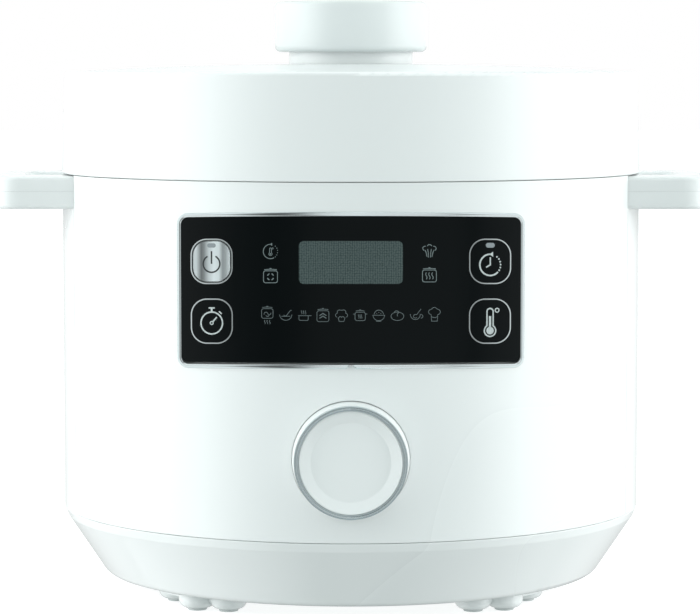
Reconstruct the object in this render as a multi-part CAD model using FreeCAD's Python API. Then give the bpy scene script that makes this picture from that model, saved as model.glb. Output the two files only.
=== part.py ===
import FreeCAD, Part
import math
import os

os.makedirs("parts", exist_ok=True)

# Electric pressure cooker of about five litres. Millimetres, +Z up, front towards -Y.
# The origin is on the upright axis, in the plane that the feet stand on.
# An azimuth is an angle about the axis, from the front (-Y) towards +X, in degrees.

# ------------------------------------------------------------------ driving dimensions
BODY_R = 153.0              # outside of the upright side wall
WALL = 2.6                  # moulded outer walls
FIT = 0.3                   # clearance round moving and dropped-in pieces
OVERALL_R_Y = 166.3         # the dial in front and the hinge behind both reach this far
PAD_R, PAD_H = 5.0, 1.2      # rubber foot pads
FOOT_LOBES = ((108.6, 35.0), (115.6, 42.7), (107.2, 57.3))  # radius and azimuth
FLOOR_Z = 9.1               # underside of the base
BASE_TOP_Z = 44.3           # parting line between the base and the side shells
SHELL_Z = 44.6              # lower edge of the side shells
SHELL_TOP_Z = 220.3
SEAM_AZIMUTH = 69.0         # upright seams between the front and rear shells
SEAM_GAP = 0.4
LID_Z = 220.6               # lower edge of the lid
LID_R = 153.5
LID_TOP_Z = 277.83          # crown of the dome
KNOB_R = 40.3
KNOB_NECK_R = 32.9
KNOB_TOP_Z = 310.7

HANDLE_X = 187.5            # outermost face of each side handle
HANDLE_HALF = 54.6          # half of a handle's length along Y; it ends at the seams
HANDLE_Z = 203.0
HANDLE_SPLIT_Z = 212.1      # parting plane between its two halves
HANDLE_TOP_Z = 219.9
GRIP_X = 172.5              # outer side of the finger slot
GRIP_HALF = 25.0            # half of the finger slot's length

PANEL_SLOPE = 0.075         # the keys travel inwards and down by this slope
FRAME_HALF, FRAME_LOW, FRAME_HIGH, FRAME_CORNER = 85.5, 130.1, 206.3, 5.5
GLASS_HALF, GLASS_LOW, GLASS_HIGH, GLASS_CORNER = 83.4, 133.0, 204.05, 3.3
SOCKET_LIP = 1.0            # the frame's skirt, between the shell and the glass
FRAME_R = BODY_R + 1.2
GLASS_R = BODY_R + 0.7
GLASS_BACK_R = 151.7
CARRIER_R = 148.4
KEY_X = 68.1
KEY_ROWS = {"upper": 182.5, "lower": 153.2}
KEY_HALF_W, KEY_HALF_H, KEY_CORNER = 10.5, 11.1, 8.0
RING_W = 0.55
KEY_TRAVEL = 0.8
LENS_HALF_W, LENS_HALF_H, LENS_Z = 25.2, 10.4, 181.8
BOARD_Y = -125.6            # front face of the control board
SWITCH_H = 3.5

DIAL_Z = 85.6
DIAL_R = 28.75              # at the foot of the dial
DIAL_FRONT_R = 27.5
DIAL_BACK_Y = 150.9         # distances in front of the axis
POCKET_R = 29.0
POCKET_Y = 149.6

POT_R = 110.0               # inside of the cooking pot
POT_WALL = 2.0
POT_Z = 58.0
RIM_Z = 212.0               # top of the cooking pot's rim
LINER_R = 118.5             # inside of the fixed outer pot
LINER_WALL = 1.2
LINER_Z = 36.5
FLANGE_TOP_Z = 214.0
FLANGE_ROOT_R = 122.0
TOOTH_R = 130.0
TEETH = 6
TOOTH_ANGLE = 28.0
CLAW_TIP_R = 126.5
CLAW_Z, CLAW_TOP_Z = 207.6, 211.2
LOCK_R_IN, LOCK_R_OUT = 133.5, 136.0

PLATE_Z, PLATE_TOP_Z = 224.0, 226.0
LOCK_FLANGE_Z, LOCK_FLANGE_TOP_Z = 227.0, 229.0
VALVE_Y = 92.0              # the pressure valve, behind the knob
FLOAT_AT = (-45.0, 70.0)
BOSS_R = 108.0
BOSS_AZIMUTHS = (60, 110, 205, 240, 300, 350)
ARM_AZIMUTHS = (40, 160, 280)
LID_SCREW_R = 1.8
HINGE_SCREWS = [(x, 127.0) for x in (-17, 17)]
SHAFT_R, SHAFT_TOP_Z = 6.0, 300.0

HINGE_Y, HINGE_Z = 160.5, 226.0
KNUCKLE_R = 5.5
KNUCKLE_IN, KNUCKLE_OUT = 28.0, 40.0
PIN_R = 2.5
STRAP_Z, STRAP_TOP_Z = 231.8, 234.5

PLATE_R, HOTPLATE_Z = 95.0, 47.0
ELEMENT_R, TUBE_R = 68.0, 4.0
POST_R = 85.0
SENSOR_STEM_R = 4.0
SPRING_Z, SPRING_TOP_Z = 38.0, 50.0

INLET_Z = 75.0
CUP_Z, CUP_TOP_Z, CUP_HALF = 130.0, 172.0, 34.0
DRAIN_AT, DRAIN_Z = (0.0, 133.0), 182.0
DRAIN_R, DRAIN_BORE_R = 5.0, 3.6
BASE_SCREW_R = 106.0        # the circle that the base screws stand on
BASE_SHANK_R = 2.0
BASE_HEAD_Z = 16.0          # seat of the base screws' heads
HANDLE_SCREWS = [(176.0, y) for y in (-38, 38)]
BOARD_SEAT_Z = 18.0
BOARD_HOLES = [(x, y) for x in (-41, 41) for y in (-95, -41)]

ORIGIN = FreeCAD.Vector(0, 0, 0)
X_AXIS = FreeCAD.Vector(1, 0, 0)
Y_AXIS = FreeCAD.Vector(0, 1, 0)
Z_AXIS = FreeCAD.Vector(0, 0, 1)


# ------------------------------------------------------------------ shapes used throughout
def vec(x, y, z=0.0):
    return FreeCAD.Vector(x, y, z)


def corner(before, point, after, radius):
    """Start, middle and end of the arc that rounds one corner."""
    if not radius:
        return point, None, point
    back = (before - point).normalize()
    ahead = (after - point).normalize()
    half = back.getAngle(ahead) / 2
    middle_way = (back + ahead).normalize()
    reach = radius / math.tan(half)
    sagitta = radius / math.sin(half) - radius
    return point + back * reach, point + middle_way * sagitta, point + ahead * reach


def flat_face(corners):
    """Flat face in XY through corners (u, v) or (u, v, rounding radius)."""
    points = [vec(c[0], c[1]) for c in corners]
    radii = [c[2] if len(c) > 2 else 0 for c in corners]
    count = len(points)
    arcs = [
        corner(points[i - 1], points[i], points[(i + 1) % count], radii[i])
        for i in range(count)
    ]
    edges = []
    for i, (start, middle, end) in enumerate(arcs):
        if middle is not None:
            edges.append(Part.Arc(start, middle, end).toShape())
        following = arcs[(i + 1) % count][0]
        if end.distanceToPoint(following) > 1e-6:
            edges.append(Part.LineSegment(end, following).toShape())
    return Part.Face(Part.Wire(edges))


def revolved(corners):
    """Solid of revolution about Z; corners are (r, z) or (r, z, rounding radius)."""
    face = flat_face(corners)
    face.rotate(ORIGIN, X_AXIS, 90)
    return face.revolve(ORIGIN, Z_AXIS, 360)


def raised(corners, z_low, z_high):
    """Upright prism of a plan outline."""
    face = flat_face(corners)
    face.translate(vec(0, 0, z_low))
    return face.extrude(vec(0, 0, z_high - z_low))


def box(x_low, x_high, y_low, y_high, z_low, z_high):
    return Part.makeBox(x_high - x_low, y_high - y_low, z_high - z_low, vec(x_low, y_low, z_low))


def rod(radius, z_low, z_high, x=0.0, y=0.0):
    return Part.makeCylinder(radius, z_high - z_low, vec(x, y, z_low))


def tube(r_in, r_out, z_low, z_high, x=0.0, y=0.0):
    return rod(r_out, z_low, z_high, x, y).cut(rod(r_in, z_low - 1, z_high + 1, x, y))


def sector(r_in, r_out, azimuth_low, azimuth_high, z_low, z_high):
    """Part of a ring between two azimuths."""
    pie = Part.makeCylinder(
        r_out, z_high - z_low, vec(0, 0, z_low), Z_AXIS, azimuth_high - azimuth_low
    )
    pie.rotate(ORIGIN, Z_AXIS, azimuth_low - 90)
    return pie.cut(rod(r_in, z_low - 1, z_high + 1)) if r_in else pie


def spot(radius, azimuth):
    """X and Y of a place at a radius and an azimuth."""
    angle = math.radians(azimuth)
    return radius * math.sin(angle), -radius * math.cos(angle)


def turned(shape, angle):
    """Copy turned about the axis; a positive angle goes from the front towards +X."""
    copy = shape.copy()
    copy.rotate(ORIGIN, Z_AXIS, angle)
    return copy


def mirrored(shape, normal=X_AXIS):
    return shape.mirror(ORIGIN, normal)


def joined(shapes):
    """One solid of shapes that overlap or touch."""
    first, *others = shapes
    return first.fuse(others).removeSplitter()


def rounded(shape, radius, wanted):
    """Rounds every edge that the test wanted(edge) picks."""
    edges = [edge for edge in shape.Edges if wanted(edge)]
    return shape.makeFillet(radius, edges)


def at_height(edge, z):
    limits = edge.BoundBox
    return abs(limits.ZMin - z) < 1e-4 and abs(limits.ZMax - z) < 1e-4


def hexagon(across_flats, z_low, z_high, x=0.0, y=0.0):
    """Hexagonal prism, as of a nut."""
    reach = across_flats / math.sqrt(3)
    corners = [
        (x + reach * math.cos(math.radians(60 * i)), y + reach * math.sin(math.radians(60 * i)))
        for i in range(6)
    ]
    return raised(corners, z_low, z_high)


def rectangle(half_width, low, high, radius=0.0, x=0.0):
    """Corners of a rectangle, in order, with its own rounding."""
    return [
        (x - half_width, low, radius),
        (x + half_width, low, radius),
        (x + half_width, high, radius),
        (x - half_width, high, radius),
    ]


def through_front(corners):
    """Front-view outline (x, z at the wall) carried inwards along the keys' path."""
    start, depth = 200.0, 90.0
    face = flat_face(corners)
    face.rotate(ORIGIN, X_AXIS, 90)
    face.translate(vec(0, -start, (start - BODY_R) * PANEL_SLOPE))
    return face.extrude(vec(0, depth, -depth * PANEL_SLOPE))


def front_layer(corners, r_in, r_out):
    """Front-view outline as a layer that follows the round body."""
    return through_front(corners).common(tube(r_in, r_out, FRAME_LOW - 40, FRAME_HIGH + 40))


def facing_front(shape, z):
    """Turns a shape made about Z so that its +Z faces the front, and lifts it to z."""
    copy = shape.copy()
    copy.rotate(ORIGIN, X_AXIS, 90)
    copy.translate(vec(0, 0, z))
    return copy


def key_corners(x, z, inset=0.0):
    """Front-view outline of a key opening, smaller all round by inset."""
    return rectangle(
        KEY_HALF_W - inset, z - KEY_HALF_H + inset, z + KEY_HALF_H - inset, KEY_CORNER - inset, x
    )


KEYS = {
    "power": (-KEY_X, KEY_ROWS["upper"]),
    "timer": (-KEY_X, KEY_ROWS["lower"]),
    "delay": (KEY_X, KEY_ROWS["upper"]),
    "temperature": (KEY_X, KEY_ROWS["lower"]),
}


# ------------------------------------------------------------------ lower housing
def base_housing():
    lip_in, lip_out, lip_top = 147.8, 150.2, 50.0
    inside_z = FLOOR_Z + WALL
    shell = revolved([
        (0, FLOOR_Z),
        (130.95, FLOOR_Z, 6),
        (151.3, 39.77, 3),
        (BODY_R, BASE_TOP_Z, 0.5),
        (lip_out, BASE_TOP_Z),
        (lip_out, lip_top),
        (lip_in, lip_top),
        (lip_in, 42.0),
        (129.5, inside_z, 4),
        (0, inside_z),
    ])
    shoes = on_four_sides(foot_boss())
    posts = [
        rod(7, inside_z - 1, LINER_Z, *spot(BASE_SCREW_R, azimuth))
        for azimuth in range(0, 360, 90)
    ]
    standoffs = [rod(3.5, inside_z - 1, BOARD_SEAT_Z, x, y) for x, y in BOARD_HOLES]
    pegs = [rod(1.7, BOARD_SEAT_Z, BOARD_SEAT_Z + 3, x, y) for x, y in BOARD_HOLES]
    body = joined([shell, *shoes, *posts, *standoffs, *pegs])
    for azimuth in range(0, 360, 90):
        place = spot(BASE_SCREW_R, azimuth)
        head_bore = rod(4.8, 0, BASE_HEAD_Z, *place)
        body = body.cut([head_bore, rod(BASE_SHANK_R, 0, LINER_Z + 1, *place)])
    return body.cut(Part.makeCompound(vent_slots()))


def on_four_sides(shape):
    """The shape at the front right, and its copies in the other three quarters."""
    pair = [shape, mirrored(shape)]
    return pair + [mirrored(side, Y_AXIS) for side in pair]


def foot_boss():
    """Foot under the base: three rounded lobes on a curved web."""
    lobe_r, lobe_edge, web_z, top_z = 9.5, 4.4, 5.0, 10.5
    web = sector(99.0, 117.0, 35.0, 57.0, web_z, top_z)
    lobe = revolved([(0, PAD_H), (lobe_r, PAD_H, lobe_edge), (lobe_r, top_z), (0, top_z)])
    lobes = []
    for place in FOOT_LOBES:
        copy = lobe.copy()
        copy.translate(vec(*spot(*place)))
        lobes.append(copy)
    return joined([web, *lobes])


def vent_slots():
    """Two rings of radial air slots in the floor."""
    slots = []
    for r_low, r_high, count in ((30.0, 50.0, 12), (58.0, 78.0, 24)):
        slot = raised(rectangle(2.0, -r_high, -r_low, 1.9), FLOOR_Z - 2, FLOOR_Z + 4)
        slots += [turned(slot, 360 / count * i) for i in range(count)]
    return slots


def foot_pads():
    softness = 0.4
    pads = []
    for lobe in FOOT_LOBES:
        pad = rounded(rod(PAD_R, 0, PAD_H, *spot(*lobe)), softness, lambda e: at_height(e, 0))
        pads += on_four_sides(pad)
    return Part.makeCompound(pads)


def body_screws():
    """Long screws and nuts between the base and the outer pot, and the handles' screws."""
    head_r, head_h, key_size, key_depth = 4.4, 2.8, 4.0, 1.6
    nut_size, nut_h = 7.0, 3.2
    floor = LINER_Z + LINER_WALL
    low = BASE_HEAD_Z - head_h
    pieces = handle_screws()
    for azimuth in range(0, 360, 90):
        place = spot(BASE_SCREW_R, azimuth)
        head = rod(head_r, low, BASE_HEAD_Z, *place)
        socket = hexagon(key_size, low - 1, low + key_depth, *place)
        shank = rod(BASE_SHANK_R, BASE_HEAD_Z, floor + nut_h + 1.8, *place)
        pieces.append(joined([head, shank]).cut(socket))
        nut = hexagon(nut_size, floor, floor + nut_h, *place)
        pieces.append(nut.cut(rod(BASE_SHANK_R, LINER_Z, floor + nut_h + 1, *place)))
    return Part.makeCompound(pieces)


# ------------------------------------------------------------------ side shells and rim
def side_wall(azimuth_low, azimuth_high):
    gap = math.degrees(SEAM_GAP / 2 / BODY_R)
    return sector(
        BODY_R - WALL, BODY_R, azimuth_low + gap, azimuth_high - gap, SHELL_Z, SHELL_TOP_Z
    )


def handle_notch():
    """Space in the shells for the upper halves of both handles."""
    return box(-200, 200, -HANDLE_HALF, HANDLE_HALF, HANDLE_SPLIT_Z, SHELL_TOP_Z + 1)


def front_shell():
    window = through_front(frame_opening())
    dial_hole = facing_front(rod(POCKET_R + 1, 100, 200), DIAL_Z)
    return side_wall(-SEAM_AZIMUTH, SEAM_AZIMUTH).cut([window, dial_hole, handle_notch()])


def rear_shell():
    wall = side_wall(SEAM_AZIMUTH, 360 - SEAM_AZIMUTH)
    inlet = box(-14, 14, 100, 200, INLET_Z - 10.5, INLET_Z + 10.5)
    return wall.cut([handle_notch(), inlet, spout_path(DRAIN_R)])


def top_rim():
    """Inner rim with its drip channel and drain, and the upper halves of both handles."""
    under_z, floor_z, ledge_z = 200.5, 202.7, 217.2
    channel_r, wall = 139.2, 2.3
    pot_side = LINER_R + LINER_WALL + FIT
    rim = revolved([
        (pot_side, under_z),
        (channel_r + wall, under_z, 2),
        (channel_r + wall, ledge_z),
        (BODY_R - WALL, ledge_z),
        (BODY_R - WALL, SHELL_TOP_Z, 0.4),
        (channel_r, SHELL_TOP_Z, 1.5),
        (channel_r, floor_z, 1),
        (pot_side, floor_z),
    ])
    arm = handle_half(HANDLE_SPLIT_Z + 0.05, HANDLE_TOP_Z, HANDLE_TOP_Z)
    arm = arm.cut(rod(146, HANDLE_Z, SHELL_TOP_Z))
    rim = joined([rim, arm, mirrored(arm), spout_path(DRAIN_R)])
    inlet = rod(DRAIN_BORE_R, DRAIN_Z, floor_z + 5, *DRAIN_AT)
    spout_mouth = box(-9, 9, 155, 165, DRAIN_Z - 10, DRAIN_Z - 1)
    return rim.cut([spout_path(DRAIN_BORE_R), inlet, spout_mouth])


def spout_path(radius):
    """Drain from the channel's floor to the back, as a solid of one radius."""
    x, y = DRAIN_AT
    drop = rod(radius, DRAIN_Z, 201.0, x, y)
    run = Part.makeCylinder(radius, 159 - y, vec(x, y, DRAIN_Z), Y_AXIS)
    elbow = Part.makeSphere(radius, vec(x, y, DRAIN_Z))
    return joined([drop, run, elbow])


def handle_half(z_low, z_high, soft_z):
    """One half of the right-hand handle; the edges at height soft_z are softened."""
    corner_r, slot_r, softness, root_x = 15.5, 9.0, 2.2, 120.0
    plan = [
        (root_x, -HANDLE_HALF),
        (HANDLE_X, -HANDLE_HALF, corner_r),
        (HANDLE_X, HANDLE_HALF, corner_r),
        (root_x, HANDLE_HALF),
    ]
    slot = [
        (140, -GRIP_HALF),
        (GRIP_X, -GRIP_HALF, slot_r),
        (GRIP_X, GRIP_HALF, slot_r),
        (140, GRIP_HALF),
    ]
    opening = raised(slot, z_low - 1, z_high + 1).cut(rod(BODY_R, z_low - 2, z_high + 2))
    solid = raised(plan, z_low, z_high).cut(opening)
    return rounded(
        solid, softness, lambda e: at_height(e, soft_z) and e.BoundBox.XMax > BODY_R + 4
    )


def handle_lower_right():
    solid = handle_half(HANDLE_Z, HANDLE_SPLIT_Z, HANDLE_Z)
    holes = [rod(BODY_R, HANDLE_Z - 1, HANDLE_TOP_Z)]
    for x, y in HANDLE_SCREWS:
        holes += [rod(3.6, HANDLE_Z - 1, HANDLE_Z + 3, x, y), rod(1.6, HANDLE_Z, 220, x, y)]
    return solid.cut(holes)


def handle_lower_left():
    return mirrored(handle_lower_right())


def handle_screws():
    seat_z, head_h = HANDLE_Z + 3, 2.4
    low = seat_z - head_h
    screws = []
    for x, y in HANDLE_SCREWS:
        head = rod(3.3, low, seat_z, x, y).cut(box(x - 4, x + 4, y - 0.5, y + 0.5, low, low + 1))
        screw = joined([head, rod(1.6, seat_z, HANDLE_SPLIT_Z, x, y)])
        screws += [screw, mirrored(screw)]
    return screws


# ------------------------------------------------------------------ control panel
def frame_outline():
    return rectangle(FRAME_HALF, FRAME_LOW, FRAME_HIGH, FRAME_CORNER)


def glass_outline(grow=0.0):
    return rectangle(
        GLASS_HALF + grow, GLASS_LOW - grow, GLASS_HIGH + grow, GLASS_CORNER + grow
    )


def frame_opening():
    return glass_outline(SOCKET_LIP)


def panel_frame():
    """Bright frame round the panel, with the small arch in its lower edge."""
    face = front_layer(frame_outline(), BODY_R, FRAME_R)
    skirt = front_layer(frame_opening(), BODY_R - WALL, BODY_R + 0.1)
    arch = through_front(rectangle(2.0, FRAME_LOW - 5, FRAME_LOW + 1.7, 1.6))
    arch = arch.cut(rod(BODY_R, 100, 240))
    return joined([face, skirt]).cut([through_front(glass_outline()), arch])


def lens_corners(grow=0.0):
    return rectangle(
        LENS_HALF_W + grow, LENS_Z - LENS_HALF_H - grow, LENS_Z + LENS_HALF_H + grow, 2.4 + grow
    )


def panel_glass():
    layer = front_layer(glass_outline(), GLASS_BACK_R, GLASS_R)
    holes = [through_front(key_corners(x, z)) for x, z in KEYS.values()]
    return layer.cut([*holes, through_front(lens_corners())])


def display_lens():
    return front_layer(lens_corners(), GLASS_BACK_R, GLASS_R - 0.05)


def panel_carrier():
    """Moulded plate behind the glass: it seats the key rings and guides the keys."""
    body = front_layer(glass_outline(), BODY_R - WALL, GLASS_BACK_R)
    flange = front_layer(glass_outline(4.0), CARRIER_R, BODY_R - WALL)
    posts = [
        facing_front(rod(3.0, -BOARD_Y, 142, x, 0), z) for x in (-50, 50) for z in (140, 192)
    ]
    plate = joined([body, flange, *posts])
    for x, z in KEYS.values():
        seat = through_front(key_corners(x, z, -1.0)).cut(rod(150.7, 100, 240))
        guide = through_front(key_corners(x, z, 2.6))
        plate = plate.cut([seat, guide])
    window = rectangle(27.4, LENS_Z - 12.6, LENS_Z + 12.2, 1.0)
    return plate.cut(through_front(window))


def key_rings():
    """Four bright rings that line the key openings."""
    rings = []
    for x, z in KEYS.values():
        lining = front_layer(key_corners(x, z), GLASS_BACK_R - 1.0, GLASS_R + 0.3)
        flange = front_layer(key_corners(x, z, -1.0), GLASS_BACK_R - 1.0, GLASS_BACK_R)
        rings.append(joined([lining, flange]).cut(through_front(key_corners(x, z, RING_W))))
    return Part.makeCompound(rings)


def key_cap(name, gap):
    """Key with its guide and the stem that presses a switch."""
    x, z = KEYS[name]
    switch_front = -BOARD_Y + SWITCH_H + KEY_TRAVEL + 0.1
    inside_cap_y = -136.0
    cap = front_layer(key_corners(x, z, RING_W + gap), GLASS_BACK_R, GLASS_R + 0.1)
    guide = front_layer(key_corners(x, z, 3.0), CARRIER_R - 2.0, GLASS_BACK_R + 0.1)
    stem = through_front(rectangle(2.5, z - 2.5, z + 2.5, 1.0, x))
    keep = box(-100, 100, inside_cap_y, -switch_front, 100, 240)
    keep_guide = box(-100, 100, -160, -switch_front - 1, 100, 240)
    return joined([cap, guide.common(keep_guide), stem.common(keep)])


def display_module():
    depth_y = -149.6
    housing = box(-26.2, 26.2, depth_y + 0.4, BOARD_Y, LENS_Z - 11.4, LENS_Z + 11.4)
    screen = box(-25.0, 25.0, depth_y, depth_y + 0.4, LENS_Z - 10.2, LENS_Z + 10.2)
    cavity = box(-24, 24, depth_y + 4, BOARD_Y - 2, LENS_Z - 9, LENS_Z + 9)
    return joined([housing, screen]).cut(cavity)


def control_board():
    """Board behind the panel, with a switch behind each key."""
    thickness = 1.6
    pieces = [box(-77.5, 77.5, BOARD_Y, BOARD_Y + thickness, 134, 198)]
    for x, z in KEYS.values():
        # each switch sits where its key's stem arrives at the board
        low = z + (BODY_R + BOARD_Y) * -PANEL_SLOPE
        body = box(x - 3, x + 3, BOARD_Y - 2.2, BOARD_Y, low - 3, low + 3)
        button = facing_front(rod(1.6, -BOARD_Y + 2.2, -BOARD_Y + SWITCH_H, x, 0), low)
        pieces += [body, button]
    return joined(pieces)


# ------------------------------------------------------------------ dial
def dial_pocket():
    """Round cup in the shell that the dial sits in, flush with the body."""
    cup = revolved([
        (5.3, 145.2),
        (33, 145.2),
        (33, 146.6),
        (POCKET_R + 1, 146.6),
        (POCKET_R + 1, BODY_R + 1),
        (POCKET_R, BODY_R + 1),
        (POCKET_R, POCKET_Y, 0.8),
        (5.3, POCKET_Y),
    ])
    return facing_front(cup, DIAL_Z).common(rod(BODY_R, 40, 130))


def encoder_body():
    half = 8.0
    case = facing_front(raised(rectangle(half, -half, half, 1.5), 134, 145.2), DIAL_Z)
    bore = facing_front(rod(5.0, 136, 150), DIAL_Z)
    pins = [
        box(x - 0.5, x + 0.5, -134, -130, DIAL_Z - 6, DIAL_Z - 5.4) for x in (-5, -2.5, 0, 2.5, 5)
    ]
    return joined([case.cut(bore), *pins])


def encoder_slider():
    """Sprung sleeve in the encoder: it moves in and out, and the shaft turns in it."""
    return facing_front(tube(3.1, 4.7, 138.5, 152.5), DIAL_Z)


def dial_shaft():
    shaft = joined([rod(3.0, 137.6, 160), rod(4.6, 152.6, 154)])
    flat = box(-5, 5, 2.4, 5, 154.2, 161)
    return facing_front(shaft.cut(flat), DIAL_Z)


def dial_body():
    hub_r, hub_back, skin_back = 8.0, 154.2, 160.9
    face_y, rim_y, seat_y = 163.2, 165.5, 163.4
    body = revolved([
        (3.0, hub_back),
        (hub_r, hub_back),
        (hub_r, skin_back, 1.5),
        (25.2, skin_back, 1.5),
        (26.6, DIAL_BACK_Y),
        (DIAL_R, DIAL_BACK_Y, 0.5),
        (DIAL_FRONT_R + 0.2, seat_y),
        (25.3, seat_y),
        (25.3, rim_y, 0.4),
        (19.4, face_y, 1),
        (0, face_y),
        (0, 160),
        (3.0, 160),
    ])
    return facing_front(body, DIAL_Z)


def dial_ring():
    """Bright ring round the dial's face: a bead between two fine grooves."""
    seat_y, groove = 163.4, 0.9
    ring = revolved([
        (25.3, seat_y),
        (DIAL_FRONT_R + 0.2, seat_y, 0.2),
        (DIAL_FRONT_R, OVERALL_R_Y, 0.1),
        (27.25, OVERALL_R_Y),
        (27.2, OVERALL_R_Y - groove),
        (26.95, OVERALL_R_Y - groove),
        (26.9, OVERALL_R_Y, 0.3),
        (25.95, OVERALL_R_Y, 0.3),
        (25.9, OVERALL_R_Y - groove),
        (25.65, OVERALL_R_Y - groove),
        (25.6, OVERALL_R_Y),
        (25.3, OVERALL_R_Y, 0.1),
    ])
    return facing_front(ring, DIAL_Z)


# ------------------------------------------------------------------ heating and electrics
def outer_pot():
    """Fixed steel pot whose toothed flange the lid locks on to."""
    outside = LINER_R + LINER_WALL
    stem_hole_r, corner_r = 6.0, 8.0
    cup = revolved([
        (stem_hole_r, LINER_Z),
        (outside, LINER_Z, corner_r),
        (outside, RIM_Z),
        (FLANGE_ROOT_R, RIM_Z),
        (FLANGE_ROOT_R, FLANGE_TOP_Z, 0.5),
        (LINER_R, FLANGE_TOP_Z, 0.5),
        (LINER_R, LINER_Z + LINER_WALL, corner_r - LINER_WALL),
        (stem_hole_r, LINER_Z + LINER_WALL),
    ])
    step = 360 / TEETH
    teeth = [
        sector(
            LINER_R + 1, TOOTH_R, step * (i + 0.5) - TOOTH_ANGLE / 2,
            step * (i + 0.5) + TOOTH_ANGLE / 2, RIM_Z, FLANGE_TOP_Z,
        )
        for i in range(TEETH)
    ]
    pot = joined([cup, *teeth])
    for azimuth in range(0, 360, 90):
        pot = pot.cut(rod(BASE_SHANK_R, LINER_Z - 1, LINER_Z + 4, *spot(BASE_SCREW_R, azimuth)))
    return pot


def cooking_pot():
    outside = POT_R + POT_WALL
    rim_r, rim_h, floor, corner_r = 117.5, 2.2, 3.0, 14.0
    return revolved([
        (0, POT_Z),
        (outside, POT_Z, corner_r),
        (outside, RIM_Z - rim_h, 1),
        (rim_r, RIM_Z - rim_h, 0.6),
        (rim_r, RIM_Z, 0.6),
        (POT_R, RIM_Z, 1.2),
        (POT_R, POT_Z + floor, corner_r - POT_WALL),
        (0, POT_Z + floor),
    ])


def element_groove():
    ring = Part.makeTorus(ELEMENT_R, TUBE_R)
    ring.translate(vec(0, 0, HOTPLATE_Z))
    return ring


def heating_plate():
    hole_r, top_z = 18.0, POT_Z - 0.2
    plate = revolved([
        (hole_r, HOTPLATE_Z),
        (PLATE_R, HOTPLATE_Z, 1),
        (PLATE_R, top_z, 2),
        (hole_r, top_z, 0.6),
    ])
    posts = [
        rod(5, LINER_Z + LINER_WALL, HOTPLATE_Z + 1, *spot(POST_R, azimuth))
        for azimuth in (60, 180, 300)
    ]
    terminals = [rod(3.0, 40, 50, *spot(ELEMENT_R, azimuth)) for azimuth in (-8, 8)]
    return joined([plate, *posts]).cut([element_groove(), *terminals])


def heating_element():
    """Tubular heater bent to a ring, with its two terminals."""
    gap = 8.0
    half = sector(0, PLATE_R, gap, 360 - gap, HOTPLATE_Z - 10, HOTPLATE_Z + 10)
    ring = element_groove().common(half)
    terminals = [rod(3.0, 39, 47, *spot(ELEMENT_R, azimuth)) for azimuth in (-gap, gap)]
    return joined([ring, *terminals])


def thermal_sensor():
    """Sprung sensor that the pot's underside presses."""
    top = POT_Z - 0.1
    cap = revolved([
        (0, 50), (15.5, 50), (15.5, top, 1.5), (0, top),
    ])
    stem = rod(SENSOR_STEM_R, 34, 51)
    bore = rod(10.5, SPRING_TOP_Z - 1, SPRING_TOP_Z + 2).cut(rod(6.5, 40, 60))
    return joined([cap, stem]).cut(bore)


def sensor_spring():
    coil_r, wire_r, pitch = 8.3, 0.8, 3.4
    height = SPRING_TOP_Z + 2 - SPRING_Z - 2 * wire_r - 0.2
    path = Part.makeHelix(pitch, height, coil_r)
    path.translate(vec(0, 0, SPRING_Z + wire_r + 0.1))
    start = vec(coil_r, 0, SPRING_Z + wire_r + 0.1)
    section = Part.Wire(Part.makeCircle(wire_r, start, Y_AXIS))
    return Part.Wire(path).makePipeShell([section], True, True)


def thermal_cutout():
    """Thermal fuse block under the outer pot."""
    case = box(-9, 9, 44, 60, 28, LINER_Z)
    tabs = [box(x - 3, x + 3, 60, 68, 31, 31.8) for x in (-5, 5)]
    return joined([case, *tabs])


def power_board():
    """Supply board with its relay, transformer, choke, capacitors, fuse and connector."""
    top = BOARD_SEAT_Z + 1.6
    board = box(-46, 46, -98, -36, BOARD_SEAT_Z, top)
    relay = box(-40, -20, -88, -72, top, top + 15)
    transformer = box(-12, 12, -92, -70, top, top + 14)
    choke = rod(8, top, top + 12, 32, -62)
    capacitors = [rod(4.5, top, top + 13, x, -50) for x in (-30, -18, -6)]
    connector = box(6, 16, -46, -40, top, top + 8)
    fuse = box(20, 40, -84, -78, top, top + 6)
    loaded = joined([board, relay, transformer, choke, *capacitors, connector, fuse])
    return loaded.cut([rod(1.7, 10, 25, x, y) for x, y in BOARD_HOLES])


def lead(points, radius, bend):
    """Insulated lead: straight runs with rounded turns."""
    route = [vec(*p) for p in points]
    edges = []
    start = route[0]
    for i in range(1, len(route) - 1):
        arc_start, middle, arc_end = corner(route[i - 1], route[i], route[i + 1], bend)
        edges.append(Part.LineSegment(start, arc_start).toShape())
        edges.append(Part.Arc(arc_start, middle, arc_end).toShape())
        start = arc_end
    edges.append(Part.LineSegment(start, route[-1]).toShape())
    path = Part.Wire(edges)
    section = Part.Wire(Part.makeCircle(radius, route[0], route[1] - route[0]))
    return path.makePipeShell([section], True, True)


def internal_leads():
    """Live and neutral leads from the inlet to the power board."""
    run_z, radius, bend = 25.0, 1.6, 12.0
    low_z = INLET_Z - 10.5
    return Part.makeCompound([
        lead([(x, 133, low_z), (x, 133, run_z), (x, -40, run_z)], radius, bend)
        for x in (9.2, 12.8)
    ])


def inlet_socket():
    """Appliance inlet with a flat outer flange."""
    flange = box(-24, 24, 151.0, 153.5, INLET_Z - 14, INLET_Z + 14)
    flange = rounded(flange, 4, lambda e: e.BoundBox.YLength > 2 and e.BoundBox.XLength < 0.01)
    rim = flange.cut(rod(BODY_R, 40, 120))
    case = box(-14, 14, 130, 153.0, INLET_Z - 10.5, INLET_Z + 10.5)
    cavity_plan = [
        (-12.2, -8.4, 1), (12.2, -8.4, 1), (12.2, 3.4, 1), (7.4, 8.2, 1), (-7.4, 8.2, 1),
        (-12.2, 3.4, 1),
    ]
    cavity = facing_front(raised(cavity_plan, -160, -136.5), INLET_Z)
    return joined([case, rim]).cut(cavity)


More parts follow.
